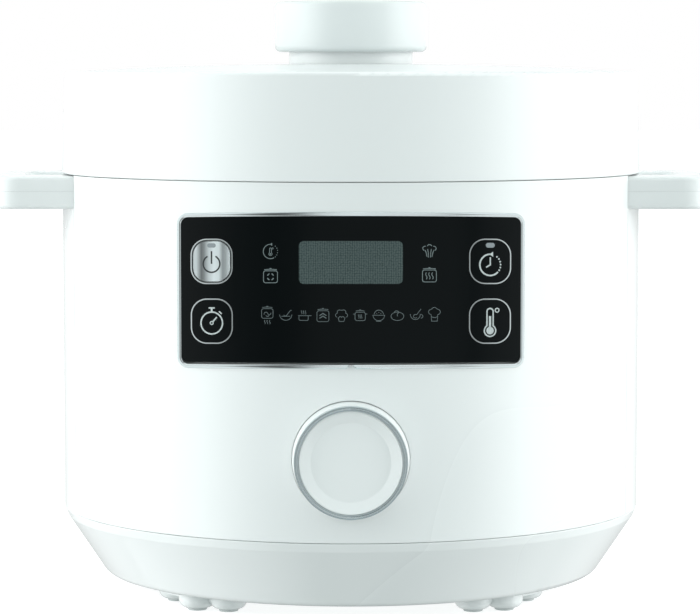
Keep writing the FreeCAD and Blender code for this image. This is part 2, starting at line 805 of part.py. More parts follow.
def inlet_pins():
    """Two power pins and the earth pin."""
    pins = []
    for x, z in ((-7, -2.5), (7, -2.5), (0, 2.5)):
        pin = box(x - 1, x + 1, 136.5, 150, INLET_Z + z - 2, INLET_Z + z + 2)
        pins.append(rounded(pin, 0.6, lambda e: abs(e.BoundBox.YMin - 150) < 0.01))
    return Part.makeCompound(pins)


# ------------------------------------------------------------------ rear fittings
def hinge_bracket():
    """Bracket on the back of the body with the two outer knuckles."""
    low_z, top_z = 190.0, 219.8
    plan = [
        (-KNUCKLE_OUT, 130), (KNUCKLE_OUT, 130),
        (KNUCKLE_OUT, OVERALL_R_Y, 5), (-KNUCKLE_OUT, OVERALL_R_Y, 5),
    ]
    block = raised(plan, low_z, top_z)
    block = rounded(block, 6, lambda e: at_height(e, low_z) and e.BoundBox.YMin > 131)
    ears = []
    for x in (-KNUCKLE_OUT, KNUCKLE_IN):
        width = KNUCKLE_OUT - KNUCKLE_IN
        knuckle = Part.makeCylinder(KNUCKLE_R, width, vec(x, HINGE_Y, HINGE_Z), X_AXIS)
        cheek = box(
            x, x + width, HINGE_Y - KNUCKLE_R, HINGE_Y + KNUCKLE_R, top_z - 3, HINGE_Z
        )
        ears.append(joined([knuckle, cheek]))
    pin_hole = Part.makeCylinder(PIN_R, 120, vec(-60, HINGE_Y, HINGE_Z), X_AXIS)
    return joined([block, *ears]).cut([pin_hole, rod(BODY_R, 150, 240)])


def hinge_pin():
    length = 2 * KNUCKLE_OUT
    return Part.makeCylinder(PIN_R, length, vec(-KNUCKLE_OUT, HINGE_Y, HINGE_Z), X_AXIS)


def cup_outline(inset):
    return [
        (-CUP_HALF + inset, 120), (CUP_HALF - inset, 120),
        (CUP_HALF - inset, OVERALL_R_Y - inset, 8 - inset),
        (-CUP_HALF + inset, OVERALL_R_Y - inset, 8 - inset),
    ]


def condensate_cup():
    """Clear cup that slides off the back, with a runner along each side."""
    wall = 1.6
    back_r = BODY_R + 0.8
    cup = raised(cup_outline(0), CUP_Z, CUP_TOP_Z).cut(rod(back_r, 100, 200))
    inside = raised(cup_outline(wall), CUP_Z + wall, CUP_TOP_Z + 1)
    inside = inside.cut(rod(back_r + wall, 100, 200))
    runner = box(CUP_HALF - 0.5, CUP_HALF + 1.6, 151, 163, 164, 166)
    runners = [runner, mirrored(runner)]
    return joined([cup.cut(inside), *runners])


def cup_rails():
    """Channel on each side that holds the condensate cup's runners."""
    x_in, x_out = CUP_HALF + FIT, CUP_HALF + 3.6
    block = box(x_in, x_out, 130, 163.5, 161.6, 168.4)
    groove = box(x_in - 1, CUP_HALF + 1.9, 130, 170, 163.7, 166.3)
    rail = block.cut([groove, rod(BODY_R, 100, 200)])
    return Part.makeCompound([rail, mirrored(rail)])


# ------------------------------------------------------------------ lid
def lid_outer_profile():
    return [
        (LID_R, LID_Z, 0.7),
        (151.4, 273.6, 2),
        (73, LID_TOP_Z, 2300),
        (0, LID_TOP_Z),
    ]


def lid_cover():
    inner = [
        (0, LID_TOP_Z - WALL),
        (73, LID_TOP_Z - WALL, 2250),
        (148.7, 270.7, 3),
        (LID_R - WALL, LID_Z),
    ]
    shell = revolved(lid_outer_profile() + inner)
    under = revolved([(0, 200), (LID_R - 1, 200), *reversed(inner)])
    well = joined([rod(28, 235, 277.8, 0, VALVE_Y), rod(33, 258, LID_TOP_Z - 1)])
    bosses = [
        rod(5, PLATE_TOP_Z, LID_TOP_Z, *spot(BOSS_R, azimuth)) for azimuth in BOSS_AZIMUTHS
    ]
    hinge_bosses = [rod(5, STRAP_TOP_Z, LID_TOP_Z, x, y) for x, y in HINGE_SCREWS]
    guide = rod(6, 262, LID_TOP_Z, *FLOAT_AT)
    inside = joined([*bosses, *hinge_bosses, guide]).common(under)
    cover = joined([shell, well, inside])
    holes = [
        rod(30.2, 261, 290),
        rod(10.2, 250, 290),
        rod(24, 237, 290, 0, VALVE_Y),
        rod(7, 230, 290, 0, VALVE_Y),
        rod(3.8, 250, 290, *FLOAT_AT),
        box(-KNUCKLE_IN, KNUCKLE_IN, 145, 170, 225.3, 235.2),
    ]
    holes += [rod(LID_SCREW_R, 220, 238, *spot(BOSS_R, azimuth)) for azimuth in BOSS_AZIMUTHS]
    holes += [rod(LID_SCREW_R, 220, 244, x, y) for x, y in HINGE_SCREWS]
    return cover.cut(holes)


def knob_collar():
    """Fixed neck below the knob."""
    return revolved([
        (27.5, 270), (30.2, 270), (30.2, 277.8), (KNOB_NECK_R, 277.8),
        (KNOB_NECK_R, 285, 0.5), (27.5, 285, 0.5),
    ])


def knob():
    """Large round knob; its socket turns in the lid's centre well."""
    under_z, neck_z, skin = 284.2, 285.3, 3.0
    return revolved([
        (0, KNOB_TOP_Z), (KNOB_R, KNOB_TOP_Z, 2.5), (KNOB_R, under_z, 3.0),
        (35.6, under_z, 0.8), (KNOB_NECK_R + 1.0, neck_z, 0.5), (27.0, neck_z),
        (27.0, 263, 1), (24.5, 263, 0.5), (24.5, 290), (37, 290, 2),
        (37, KNOB_TOP_Z - skin, 2), (12, KNOB_TOP_Z - skin, 1), (12, 263.4, 0.5),
        (SHAFT_R, 263.4), (SHAFT_R, SHAFT_TOP_Z), (0, SHAFT_TOP_Z),
    ])


def knob_shaft():
    return rod(SHAFT_R, PLATE_TOP_Z + 1.4, SHAFT_TOP_Z)


def shaft_bush():
    bore_r = SHAFT_R + 0.15
    return revolved([
        (bore_r, 248), (10.2, 248, 0.5), (10.2, 261), (14, 261), (14, 262.6, 0.4),
        (bore_r, 262.6),
    ])


def lock_spider():
    """Three arms that carry the shaft's turn to the lock ring."""
    hub = tube(SHAFT_R, 13, LOCK_FLANGE_TOP_Z, 241)
    arm = box(-6, 6, -125, -10, LOCK_FLANGE_TOP_Z, LOCK_FLANGE_TOP_Z + 2.2)
    arms = [turned(arm, azimuth) for azimuth in ARM_AZIMUTHS]
    return joined([hub, *arms]).cut(rod(SHAFT_R, 220, 250))


def lock_ring():
    """Rotating ring with claws that pass under the outer pot's teeth."""
    ring = revolved([
        (LOCK_R_IN, CLAW_Z), (LOCK_R_OUT, CLAW_Z, 0.6), (LOCK_R_OUT, LOCK_FLANGE_TOP_Z, 1),
        (118, LOCK_FLANGE_TOP_Z), (118, LOCK_FLANGE_Z), (LOCK_R_IN, LOCK_FLANGE_Z),
    ])
    step = 360 / TEETH
    claws = [
        sector(
            CLAW_TIP_R, LOCK_R_OUT - 1, step * i - TOOTH_ANGLE / 2,
            step * i + TOOTH_ANGLE / 2, CLAW_Z, CLAW_TOP_Z,
        )
        for i in range(TEETH)
    ]
    return joined([ring, *claws])


def lid_passages():
    """Holes through the lid's inner layers for the valve's tube and the float pin."""
    low, high = 200, 240
    return [rod(5.2, low, high, 0, VALVE_Y), rod(3.6, low, high, *FLOAT_AT)]


def lid_plate():
    """Pressure plate of the lid, with the stud for the inner lid."""
    plate = rod(132.5, PLATE_Z, PLATE_TOP_Z)
    stud = rod(4, 206, PLATE_Z + 1)
    screw_holes = [rod(LID_SCREW_R, 200, 240, *spot(BOSS_R, azimuth)) for azimuth in BOSS_AZIMUTHS]
    return joined([plate, stud]).cut(lid_passages() + screw_holes)


def lid_liner():
    """Moulded under-cover between the plate and the inner lid."""
    low, wall = 217.4, 2.0
    cup = revolved([
        (4.3, low), (131.5, low, 1.5), (131.5, PLATE_Z), (131.5 - wall, PLATE_Z),
        (131.5 - wall, low + wall), (13, low + wall), (13, PLATE_Z), (4.3, PLATE_Z),
    ])
    rings = [tube(60, 62, low + wall - 0.5, PLATE_Z), tube(96, 98, low + wall - 0.5, PLATE_Z)]
    return joined([cup, *rings]).cut(lid_passages())


def inner_lid():
    """Removable steel lid that carries the gasket."""
    return revolved([
        (4.2, 212), (105.5, 212, 1), (107, 210.6, 0.6), (108.6, 210.6, 0.6),
        (108.6, 216, 0.5), (117.8, 216), (117.8, 217.3, 0.4), (107, 217.3, 0.6),
        (104, 213.5, 1), (4.2, 213.5),
    ]).cut(lid_passages())


def gasket():
    """Silicone seal under the inner lid's edge."""
    return revolved([
        (108.8, 212.15, 0.6), (112.5, 212.15, 0.5), (113, 213.6, 0.4), (114.5, 213.6, 0.4),
        (115, 212.15, 0.5), (117.3, 212.15, 0.6), (117.3, 215.9, 0.6), (108.8, 215.9, 0.6),
    ])


def inner_lid_nut():
    knob = revolved([(4, 207.5), (10, 207.5, 1), (10, 211.9, 0.5), (4, 211.9)])
    grooves = [turned(rod(1.4, 200, 220, 0, -10.8), 36 * i) for i in range(10)]
    return knob.cut(grooves)


def valve_seat():
    body = revolved([
        (1.6, 209), (5, 209), (5, PLATE_TOP_Z), (9, PLATE_TOP_Z), (9, 230), (5, 230),
        (5, 238, 0.5), (3, 240, 0.3), (1.6, 240),
    ])
    body.translate(vec(0, VALVE_Y, 0))
    return body


def valve_shield():
    """Slotted cap that keeps food out of the valve."""
    shield = revolved([
        (5, 205), (5, 211.8), (9.5, 211.8), (9.5, 203, 2), (0, 203), (0, 205),
    ])
    slots = [turned(box(-0.8, 0.8, -12, -5.5, 205.2, 210.5), 45 * i) for i in range(8)]
    shield = shield.cut(slots)
    shield.translate(vec(0, VALVE_Y, 0))
    return shield


def valve_weight():
    """Weight that holds the pressure valve shut."""
    weight = revolved([
        (6, 237.2), (15, 237.2, 1), (15, 255, 2), (9, 258, 2), (9, 268, 1.5), (0, 268),
        (0, 243), (6, 240.2),
    ])
    weight.translate(vec(0, VALVE_Y, 0))
    return weight


def steam_cap():
    """Vented cover over the pressure valve."""
    cap = revolved([
        (0, 280.3), (26.5, 280.3, 1.2), (26.5, 277.8), (23.7, 277.8), (23.7, 274, 0.4),
        (22, 274), (22, 278.2), (0, 278.2),
    ])
    slot = raised(rectangle(1.4, -19, -7, 1.3), 270, 290)
    cap = cap.cut([turned(slot, 30 * i) for i in range(12)])
    cap.translate(vec(0, VALVE_Y, 0))
    return cap


def float_pin():
    """Rises with the pressure; its top shows in the lid."""
    pin = revolved([
        (0, 204), (6, 204, 0.8), (6, 208.8, 0.4), (3.2, 208.8), (3.2, PLATE_TOP_Z + 0.1),
        (5.5, PLATE_TOP_Z + 0.1), (5.5, 228.6), (3.2, 228.6), (3.2, 273.2, 0.8), (0, 273.2),
    ])
    pin.translate(vec(*FLOAT_AT))
    return pin


def hinge_arm():
    """Strap from the lid to the middle knuckle of the hinge."""
    half = KNUCKLE_IN - 0.4
    strap = box(-26, 26, 118, HINGE_Y, STRAP_Z, STRAP_TOP_Z)
    lug = box(-half, half, 151.5, HINGE_Y + 2, HINGE_Z, STRAP_TOP_Z)
    knuckle = Part.makeCylinder(KNUCKLE_R, 2 * half, vec(-half, HINGE_Y, HINGE_Z), X_AXIS)
    bore = Part.makeCylinder(PIN_R + 0.15, 80, vec(-40, HINGE_Y, HINGE_Z), X_AXIS)
    lug = rounded(lug, 4, lambda e: e.BoundBox.XLength > 40 and e.BoundBox.YMin > HINGE_Y
                  and e.BoundBox.ZMin > 234)
    arm = joined([strap, lug, knuckle]).cut(bore)
    return arm.cut([rod(LID_SCREW_R, 220, 240, x, y) for x, y in HINGE_SCREWS])


def lid_screws():
    screws = []
    places = [(*spot(BOSS_R, azimuth), PLATE_Z) for azimuth in BOSS_AZIMUTHS]
    places += [(x, y, STRAP_Z) for x, y in HINGE_SCREWS]
    head_r, head_h, length = 3.6, 1.8, 12.0
    for x, y, seat in places:
        head = rod(head_r, seat - head_h, seat, x, y)
        slot = box(x - 2, x + 2, y - 0.4, y + 0.4, seat - 2, seat - 1)
        screws.append(joined([head, rod(LID_SCREW_R, seat, seat + length, x, y)]).cut(slot))
    return Part.makeCompound(screws)


# ------------------------------------------------------------------ one STEP file per piece
PIECES = {
    "base_housing": base_housing,
    "foot_pads": foot_pads,
    "body_screws": body_screws,
    "front_shell": front_shell,
    "rear_shell": rear_shell,
    "top_rim": top_rim,
    "handle_lower_left": handle_lower_left,
    "handle_lower_right": handle_lower_right,
    "panel_frame": panel_frame,
    "panel_glass": panel_glass,
    "display_lens": display_lens,
    "panel_carrier": panel_carrier,
    "key_rings": key_rings,
    "power_key": lambda: key_cap("power", 0.75),
    "timer_key": lambda: key_cap("timer", 0.2),
    "delay_key": lambda: key_cap("delay", 0.2),
    "temperature_key": lambda: key_cap("temperature", 0.2),
    "display_module": display_module,
    "control_board": control_board,
    "dial_pocket": dial_pocket,
    "encoder_body": encoder_body,
    "encoder_slider": encoder_slider,
    "dial_shaft": dial_shaft,
    "dial_body": dial_body,
    "dial_ring": dial_ring,
    "outer_pot": outer_pot,
    "cooking_pot": cooking_pot,
    "heating_plate": heating_plate,
    "heating_element": heating_element,
    "thermal_sensor": thermal_sensor,
    "sensor_spring": sensor_spring,
    "thermal_cutout": thermal_cutout,
    "power_board": power_board,
    "internal_leads": internal_leads,
    "inlet_socket": inlet_socket,
    "inlet_pins": inlet_pins,
    "hinge_bracket": hinge_bracket,
    "hinge_pin": hinge_pin,
    "cup_rails": cup_rails,
    "condensate_cup": condensate_cup,
    "lid_cover": lid_cover,
    "knob_collar": knob_collar,
    "knob": knob,
    "knob_shaft": knob_shaft,
    "shaft_bush": shaft_bush,
    "lock_spider": lock_spider,
    "lock_ring": lock_ring,
    "lid_plate": lid_plate,
    "lid_liner": lid_liner,
    "inner_lid": inner_lid,
    "gasket": gasket,
    "inner_lid_nut": inner_lid_nut,
    "valve_seat": valve_seat,
    "valve_shield": valve_shield,
    "valve_weight": valve_weight,
    "steam_cap": steam_cap,
    "float_pin": float_pin,
    "hinge_arm": hinge_arm,
    "lid_screws": lid_screws,
}

if __name__ == "__main__":
    for name, make in PIECES.items():
        shape = make()
        shape.exportStep(f"parts/{name}.step")
        print(name, len(shape.Solids), shape.isValid(), round(shape.Volume))
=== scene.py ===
import math

import bpy
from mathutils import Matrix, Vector


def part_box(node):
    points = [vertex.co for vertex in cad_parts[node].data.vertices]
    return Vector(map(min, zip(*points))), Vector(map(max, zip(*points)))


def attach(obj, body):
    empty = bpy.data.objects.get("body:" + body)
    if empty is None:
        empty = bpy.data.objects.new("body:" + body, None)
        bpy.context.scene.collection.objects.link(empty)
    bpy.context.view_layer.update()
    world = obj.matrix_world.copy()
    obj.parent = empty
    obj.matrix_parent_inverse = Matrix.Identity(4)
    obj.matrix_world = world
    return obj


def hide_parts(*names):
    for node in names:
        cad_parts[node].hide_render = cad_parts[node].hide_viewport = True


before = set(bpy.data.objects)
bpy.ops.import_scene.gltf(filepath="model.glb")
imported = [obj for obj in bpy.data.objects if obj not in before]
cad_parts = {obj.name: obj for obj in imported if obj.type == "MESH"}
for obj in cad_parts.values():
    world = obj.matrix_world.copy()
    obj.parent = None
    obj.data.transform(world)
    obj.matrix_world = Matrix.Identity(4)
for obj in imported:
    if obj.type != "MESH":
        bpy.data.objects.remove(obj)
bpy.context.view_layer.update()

# Electric pressure cooker. Metres, +Z up, front towards -Y, as in the CAD model.
# The CAD nodes carry procedural materials. Added pieces: the bright frame round the panel,
# the symbols and lamp windows of the keys, and the symbols on the glass.

MM = 0.001

ROOT = "housing"
BODY_R = -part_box("front_shell")[0].y          # outside of the upright side wall
GLASS_R = -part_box("panel_glass")[0].y         # face of the glass
KEY_R = GLASS_R + 0.1 * MM                    # face of the keys
PANEL_SLOPE = 0.075                           # the keys travel inwards and down by this slope

# The panel's outline and the keys' centres as seen from the front, in millimetres.
FRAME_HALF, FRAME_V, FRAME_CORNER = 85.5, (130.1, 206.3), 5.5
KEY_X, KEY_V = 68.1, {"upper": 182.5, "lower": 153.2}
KEYS = {
    "power": (-KEY_X, KEY_V["upper"]),
    "timer": (-KEY_X, KEY_V["lower"]),
    "delay": (KEY_X, KEY_V["upper"]),
    "temperature": (KEY_X, KEY_V["lower"]),
}


# ------------------------------------------------------------------ shader helpers
class Surface:
    """A Principled material and short ways to add nodes to it. It works in object coordinates."""

    def __init__(self, name, color, roughness, metallic=0.0, **sockets):
        self.material = bpy.data.materials.new(name)
        self.material.use_nodes = True
        self.tree = self.material.node_tree
        self.shader = self.tree.nodes["Principled BSDF"]
        self.color = color
        self.set("Base Color", (*color, 1.0))
        self.set("Roughness", roughness)
        self.set("Metallic", metallic)
        for socket, value in sockets.items():
            self.set(socket.replace("_", " "), value)
        self.where = self.node("ShaderNodeTexCoord").outputs["Object"]

    def set(self, socket, value):
        self.shader.inputs[socket].default_value = value

    def node(self, kind, **values):
        made = self.tree.nodes.new(kind)
        for name, value in values.items():
            if name in made.inputs:
                made.inputs[name].default_value = value
            else:
                setattr(made, name, value)
        return made

    def link(self, source, target):
        self.tree.links.new(source, target)

    def stretched(self, scale):
        """Object coordinates multiplied by scale, one factor for each axis."""
        made = self.node("ShaderNodeMapping")
        made.inputs["Scale"].default_value = scale
        self.link(self.where, made.inputs["Vector"])
        return made.outputs["Vector"]

    def noise(self, scale, detail=2.0, roughness=0.5, vector=None):
        made = self.node("ShaderNodeTexNoise", Scale=scale, Detail=detail, Roughness=roughness)
        self.link(vector or self.where, made.inputs["Vector"])
        return made.outputs["Fac"]

    def between(self, fac, low, high):
        """Maps a factor that runs from 0 to 1 on to a range."""
        made = self.node("ShaderNodeMapRange")
        made.inputs["To Min"].default_value = low
        made.inputs["To Max"].default_value = high
        self.link(fac, made.inputs["Value"])
        return made.outputs["Result"]

    def tint(self, fac, other, low=0.3, high=0.7):
        """Base colour that drifts from the main colour to another one."""
        ramp = self.node("ShaderNodeValToRGB")
        ramp.color_ramp.elements[0].position = low
        ramp.color_ramp.elements[0].color = (*self.color, 1.0)
        ramp.color_ramp.elements[1].position = high
        ramp.color_ramp.elements[1].color = (*other, 1.0)
        self.link(fac, ramp.inputs["Fac"])
        self.link(ramp.outputs["Color"], self.shader.inputs["Base Color"])

    def vary_roughness(self, fac, low, high):
        self.link(self.between(fac, low, high), self.shader.inputs["Roughness"])

    def relief(self, fac, depth, strength=1.0):
        """Bump of a given depth in metres."""
        bump = self.node("ShaderNodeBump", Strength=strength, Distance=depth)
        self.link(fac, bump.inputs["Height"])
        self.link(bump.outputs["Normal"], self.shader.inputs["Normal"])


def ramp_of(tree, source, stops):
    """Brightness as a function of one value; stops are (position, brightness)."""
    ramp = tree.nodes.new("ShaderNodeValToRGB")
    elements = ramp.color_ramp.elements
    while len(elements) < len(stops):
        elements.new(0.5)
    for element, (position, value) in zip(elements, stops):
        element.position = position
        element.color = (value, value, value, 1.0)
    tree.links.new(source, ramp.inputs["Fac"])
    return ramp.outputs["Color"]


# ------------------------------------------------------------------ materials
def white_plastic(name, color, roughness):
    """Gloss moulded plastic: faint flow tint, uneven polish and a shallow swell."""
    s = Surface(name, color, roughness, Coat_Weight=0.25, Coat_Roughness=0.08)
    s.tint(s.noise(4.0, 0.0), tuple(c * 0.99 for c in color), 0.1, 0.9)
    s.vary_roughness(s.noise(6.0, 0.0), roughness - 0.015, roughness + 0.015)
    s.relief(s.noise(30.0, 0.0), 0.00003, 0.1)
    return s.material


def black_gloss(name, color=(0.0030, 0.0044, 0.0048)):
    """Glossy black cover with faint wipe marks in its polish."""
    s = Surface(name, color, 0.09)
    s.set("Specular IOR Level", 0.09)
    marks = s.noise(7.0, 5.0, 0.6, s.stretched((1.0, 1.0, 3.0)))
    s.vary_roughness(marks, 0.06, 0.13)
    s.tint(s.noise(5.0, 2.0), tuple(c * 1.5 for c in color))
    return s.material


def chrome(name, color, roughness=0.16):
    """Plated trim with fine polishing lines."""
    s = Surface(name, color, roughness, 1.0)
    s.vary_roughness(s.noise(400.0, 3.0), roughness - 0.03, roughness + 0.05)
    s.tint(s.noise(30.0, 2.0), tuple(c * 0.94 for c in color))
    return s.material


def brushed_key(name):
    """Brushed metal with upright hairlines, and a painted reflection: upright light and dark bands
    across the key set into its colour.
    """
    s = Surface(name, (0.80, 0.88, 0.90), 0.3, 0.4, Anisotropic=0.5)
    low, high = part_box("power_key")
    across = s.node("ShaderNodeSeparateXYZ")
    s.link(s.where, across.inputs["Vector"])
    place = s.node("ShaderNodeMapRange")
    place.inputs["From Min"].default_value = low.x
    place.inputs["From Max"].default_value = high.x
    s.link(across.outputs["X"], place.inputs["Value"])
    # painted reflection: brightness stops by position across the key, standing in for reflected light
    # and dark bands
    painted_reflection_stops = ((0.0, 0.60), (0.08, 0.66), (0.22, 0.16), (0.30, 0.26), (0.42, 0.62), (0.56, 0.86),
             (0.70, 0.80), (0.80, 0.34), (0.88, 0.42), (1.0, 0.80))
    painted_reflection_tone = ramp_of(s.tree, place.outputs["Result"], painted_reflection_stops)
    # the painted reflection bands are multiplied into the metal's base colour
    metal = s.node("ShaderNodeMix", data_type="RGBA", blend_type="MULTIPLY")
    metal.inputs["Factor"].default_value = 1.0
    metal.inputs["B"].default_value = (*s.color, 1.0)
    s.link(painted_reflection_tone, metal.inputs["A"])
    s.link(metal.outputs["Result"], s.shader.inputs["Base Color"])
    hair = s.noise(220.0, 6.0, 0.7, s.stretched((9.0, 9.0, 0.15)))
    s.vary_roughness(hair, 0.22, 0.40)
    s.relief(hair, 0.00002, 0.3)
    return s.material


def display_window(name):
    """Grey-green window with a fine dot screen."""
    s = Surface(name, (0.082, 0.112, 0.110), 0.25)
    s.set("Specular IOR Level", 0.12)
    dots = s.node("ShaderNodeTexVoronoi", Scale=1.0, Randomness=0.25)
    s.link(s.stretched((900.0, 0.0, 1250.0)), dots.inputs["Vector"])
    s.tint(dots.outputs["Distance"], (0.036, 0.052, 0.052), 0.30, 0.62)
    return s.material


def printed(name, color, metallic=0.0):
    """Printed pictogram ink, slightly grainy."""
    s = Surface(name, color, 0.35, metallic)
    s.tint(s.noise(900.0, 2.0), tuple(c * 0.8 for c in color))
    return s.material


def rubber(name, color, roughness=0.75):
    s = Surface(name, color, roughness)
    s.tint(s.noise(180.0, 4.0), tuple(c * 1.12 for c in color))
    s.relief(s.noise(2600.0, 3.0), 0.00006, 0.5)
    return s.material


def turned_metal(name, color, roughness, rings=900.0):
    """Metal with fine circles about the upright axis."""
    s = Surface(name, color, roughness, 1.0, Anisotropic=0.4)
    flat = s.stretched((1.0, 1.0, 0.0))
    radius = s.node("ShaderNodeVectorMath", operation="LENGTH")
    s.link(flat, radius.inputs[0])
    lines = s.noise(rings, 4.0, 0.7, radius.outputs["Value"])
    s.vary_roughness(lines, roughness - 0.08, roughness + 0.12)
    s.tint(s.noise(25.0, 3.0), tuple(c * 0.86 for c in color))
    s.relief(lines, 0.00003, 0.35)
    return s.material


def drawn_metal(name, color, roughness):
    """Sheet or bar metal with a faint cloudy finish."""
    s = Surface(name, color, roughness, 1.0)
    s.vary_roughness(s.noise(90.0, 5.0, 0.6), roughness - 0.08, roughness + 0.14)
    s.tint(s.noise(35.0, 3.0), tuple(c * 0.85 for c in color))
    s.relief(s.noise(700.0, 4.0), 0.00004, 0.3)
    return s.material


def non_stick(name):
    """Dark coating with pale flecks."""
    s = Surface(name, (0.020, 0.021, 0.022), 0.38, Coat_Weight=0.15)
    flecks = s.node("ShaderNodeTexVoronoi", Scale=650.0)
    s.link(s.where, flecks.inputs["Vector"])
    s.tint(flecks.outputs["Distance"], (0.035, 0.036, 0.038), 0.05, 0.35)
    s.relief(s.noise(1400.0, 3.0), 0.00005, 0.4)
    return s.material


def matt_plastic(name, color, roughness=0.5):
    """Spark-textured moulded plastic."""
    s = Surface(name, color, roughness)
    s.tint(s.noise(40.0, 3.0), tuple(c * 0.9 for c in color))
    s.vary_roughness(s.noise(300.0, 3.0), roughness - 0.08, roughness + 0.1)
    s.relief(s.noise(1800.0, 3.0), 0.00005, 0.4)
    return s.material


def clear_plastic(name):
    s = Surface(name, (0.93, 0.96, 0.97), 0.06, IOR=1.49)
    s.set("Transmission Weight", 0.92)
    s.vary_roughness(s.noise(50.0, 4.0), 0.03, 0.12)
    return s.material


def silicone(name):
    s = Surface(name, (0.72, 0.74, 0.73), 0.45)
    s.set("Transmission Weight", 0.2)
    s.tint(s.noise(60.0, 3.0), (0.62, 0.65, 0.64))
    s.relief(s.noise(1200.0, 2.0), 0.00004, 0.3)
    return s.material


def circuit_board(name):
    """Green laminate with pale tracks."""
    s = Surface(name, (0.02, 0.13, 0.06), 0.4, Coat_Weight=0.3)
    tracks = s.node("ShaderNodeTexBrick", Scale=180.0)
    s.link(s.where, tracks.inputs["Vector"])
    s.tint(tracks.outputs["Fac"], (0.10, 0.28, 0.14), 0.4, 0.6)
    return s.material


WHITE = white_plastic("gloss_white", (0.80, 0.825, 0.825), 0.27)
WHITE_FACE = white_plastic("dial_face_white", (0.84, 0.865, 0.865), 0.32)
# painted shade: the knob gets a darker, glossier copy of the white plastic so that it reads darker than
# the body
SHADED_KNOB_WHITE = white_plastic("knob_white_painted_shade", (0.69, 0.725, 0.725), 0.22)
CHROME = chrome("bright_trim", (0.74, 0.83, 0.84))
RING_CHROME = chrome("dial_ring_trim", (0.62, 0.72, 0.74), 0.2)
BLACK = black_gloss("panel_black")
DISPLAY = display_window("display")
KEY_METAL = brushed_key("key_metal")
PRINT_BRIGHT = printed("print_silver", (0.50, 0.56, 0.56))
PRINT_DIM = printed("print_grey", (0.13, 0.165, 0.17))
PRINT_MID = printed("print_mid_grey", (0.19, 0.24, 0.245))
PRINT_DARK = printed("print_dark", (0.018, 0.024, 0.026))
PILL = matt_plastic("lamp_window", (0.235, 0.27, 0.29), 0.35)
RUBBER = rubber("foot_rubber", (0.50, 0.53, 0.53))
SILICONE = silicone("gasket_silicone")
STEEL = drawn_metal("steel", (0.56, 0.565, 0.57), 0.28)
TURNED_STEEL = turned_metal("turned_steel", (0.60, 0.605, 0.61), 0.25)
CAST = turned_metal("cast_aluminium", (0.62, 0.63, 0.64), 0.38, 500.0)
COATING = non_stick("pot_coating")
GREY_PLASTIC = matt_plastic("inner_plastic", (0.46, 0.48, 0.48))
DARK_PLASTIC = matt_plastic("dark_plastic", (0.022, 0.023, 0.024), 0.45)
BOARD = circuit_board("circuit_board")
CLEAR = clear_plastic("clear_plastic")
PLATED = drawn_metal("plated_brass", (0.66, 0.60, 0.44), 0.25)
LEAD = matt_plastic("lead_insulation", (0.03, 0.06, 0.22), 0.4)

FINISH = {
    WHITE: (
        "base_housing front_shell rear_shell top_rim handle_lower_left handle_lower_right "
        "lid_cover knob_collar dial_pocket hinge_bracket steam_cap"
    ),
    SHADED_KNOB_WHITE: "knob",
    WHITE_FACE: "dial_body",
    RING_CHROME: "dial_ring",
    CHROME: "panel_frame key_rings",
    BLACK: "panel_glass timer_key delay_key temperature_key",
    DISPLAY: "display_lens",
    KEY_METAL: "power_key",
    GREY_PLASTIC: "panel_carrier lid_liner shaft_bush cup_rails encoder_slider display_module",
    DARK_PLASTIC: "inlet_socket encoder_body thermal_cutout",
    STEEL: (
        "lock_ring lock_spider knob_shaft hinge_pin hinge_arm valve_seat valve_shield "
        "valve_weight float_pin dial_shaft heating_element sensor_spring thermal_sensor "
        "body_screws lid_screws inner_lid_nut"
    ),
    TURNED_STEEL: "outer_pot lid_plate inner_lid",
    CAST: "heating_plate",
    COATING: "cooking_pot",
    RUBBER: "foot_pads",
    SILICONE: "gasket",
    BOARD: "power_board control_board",
    CLEAR: "condensate_cup",
    PLATED: "inlet_pins",
    LEAD: "internal_leads",
}


def add_finishes():
    """Gives every CAD node its material."""
    for finish, names in FINISH.items():
        for name in names.split():
            for slot in bpy.data.objects[name].material_slots:
                slot.material = finish


# ------------------------------------------------------------------ meshes on the panel
def on_panel(u, v, radius):
    """Point of the curved panel that the front view shows at u, v, in millimetres."""
    x = u * MM
    y = -math.sqrt(radius * radius - x * x)
    return Vector((x, y, v * MM - PANEL_SLOPE * (y + BODY_R)))


def new_piece(name, vertices, faces, material, body, replaces=()):
    """A smooth mesh that moves with a body, and that may stand in for CAD nodes."""
    mesh = bpy.data.meshes.new(name)
    mesh.from_pydata(vertices, [], faces)
    mesh.materials.append(material)
    mesh.polygons.foreach_set("use_smooth", [True] * len(mesh.polygons))
    mesh.update()
    piece = bpy.data.objects.new(name, mesh)
    bpy.context.scene.collection.objects.link(piece)
    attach(piece, body)
    if replaces:
        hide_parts(replaces)
    return piece


def arc(cx, cy, radius, start, end, steps=0, squash=1.0):
    """Points of an arc, in degrees anticlockwise from +u."""
    steps = steps or max(3, int(abs(end - start) / 9))
    points = []
    for i in range(steps + 1):
        angle = math.radians(start + (end - start) * i / steps)
        points.append((cx + radius * math.cos(angle), cy + radius * squash * math.sin(angle)))
    return points


def rounded_loop(half_w, half_h, radius, arc_steps=8, side_steps=1):
    """Closed rounded rectangle about the origin, anticlockwise from the right-hand side."""
    w, h = half_w - radius, half_h - radius
    points = []
    centres = ((w, h), (-w, h), (-w, -h), (w, -h))
    for quarter, (cx, cy) in enumerate(centres):
        corner = arc(cx, cy, radius, 90 * quarter, 90 * quarter + 90, arc_steps)
        points += corner
        following = arc(*centres[(quarter + 1) % 4], radius, 90 * quarter + 90, 90 * quarter + 91, 1)[0]
        for i in range(1, side_steps):
            t = i / side_steps
            points.append(tuple(a + (b - a) * t for a, b in zip(corner[-1], following)))
    return points


def wave(cx, low, high, sway, turns=1.0, steps=12):
    """Upright wavy line."""
    points = []
    for i in range(steps + 1):
        t = i / steps
        points.append((cx + sway * math.sin(2 * math.pi * turns * t), low + (high - low) * t))
    return points


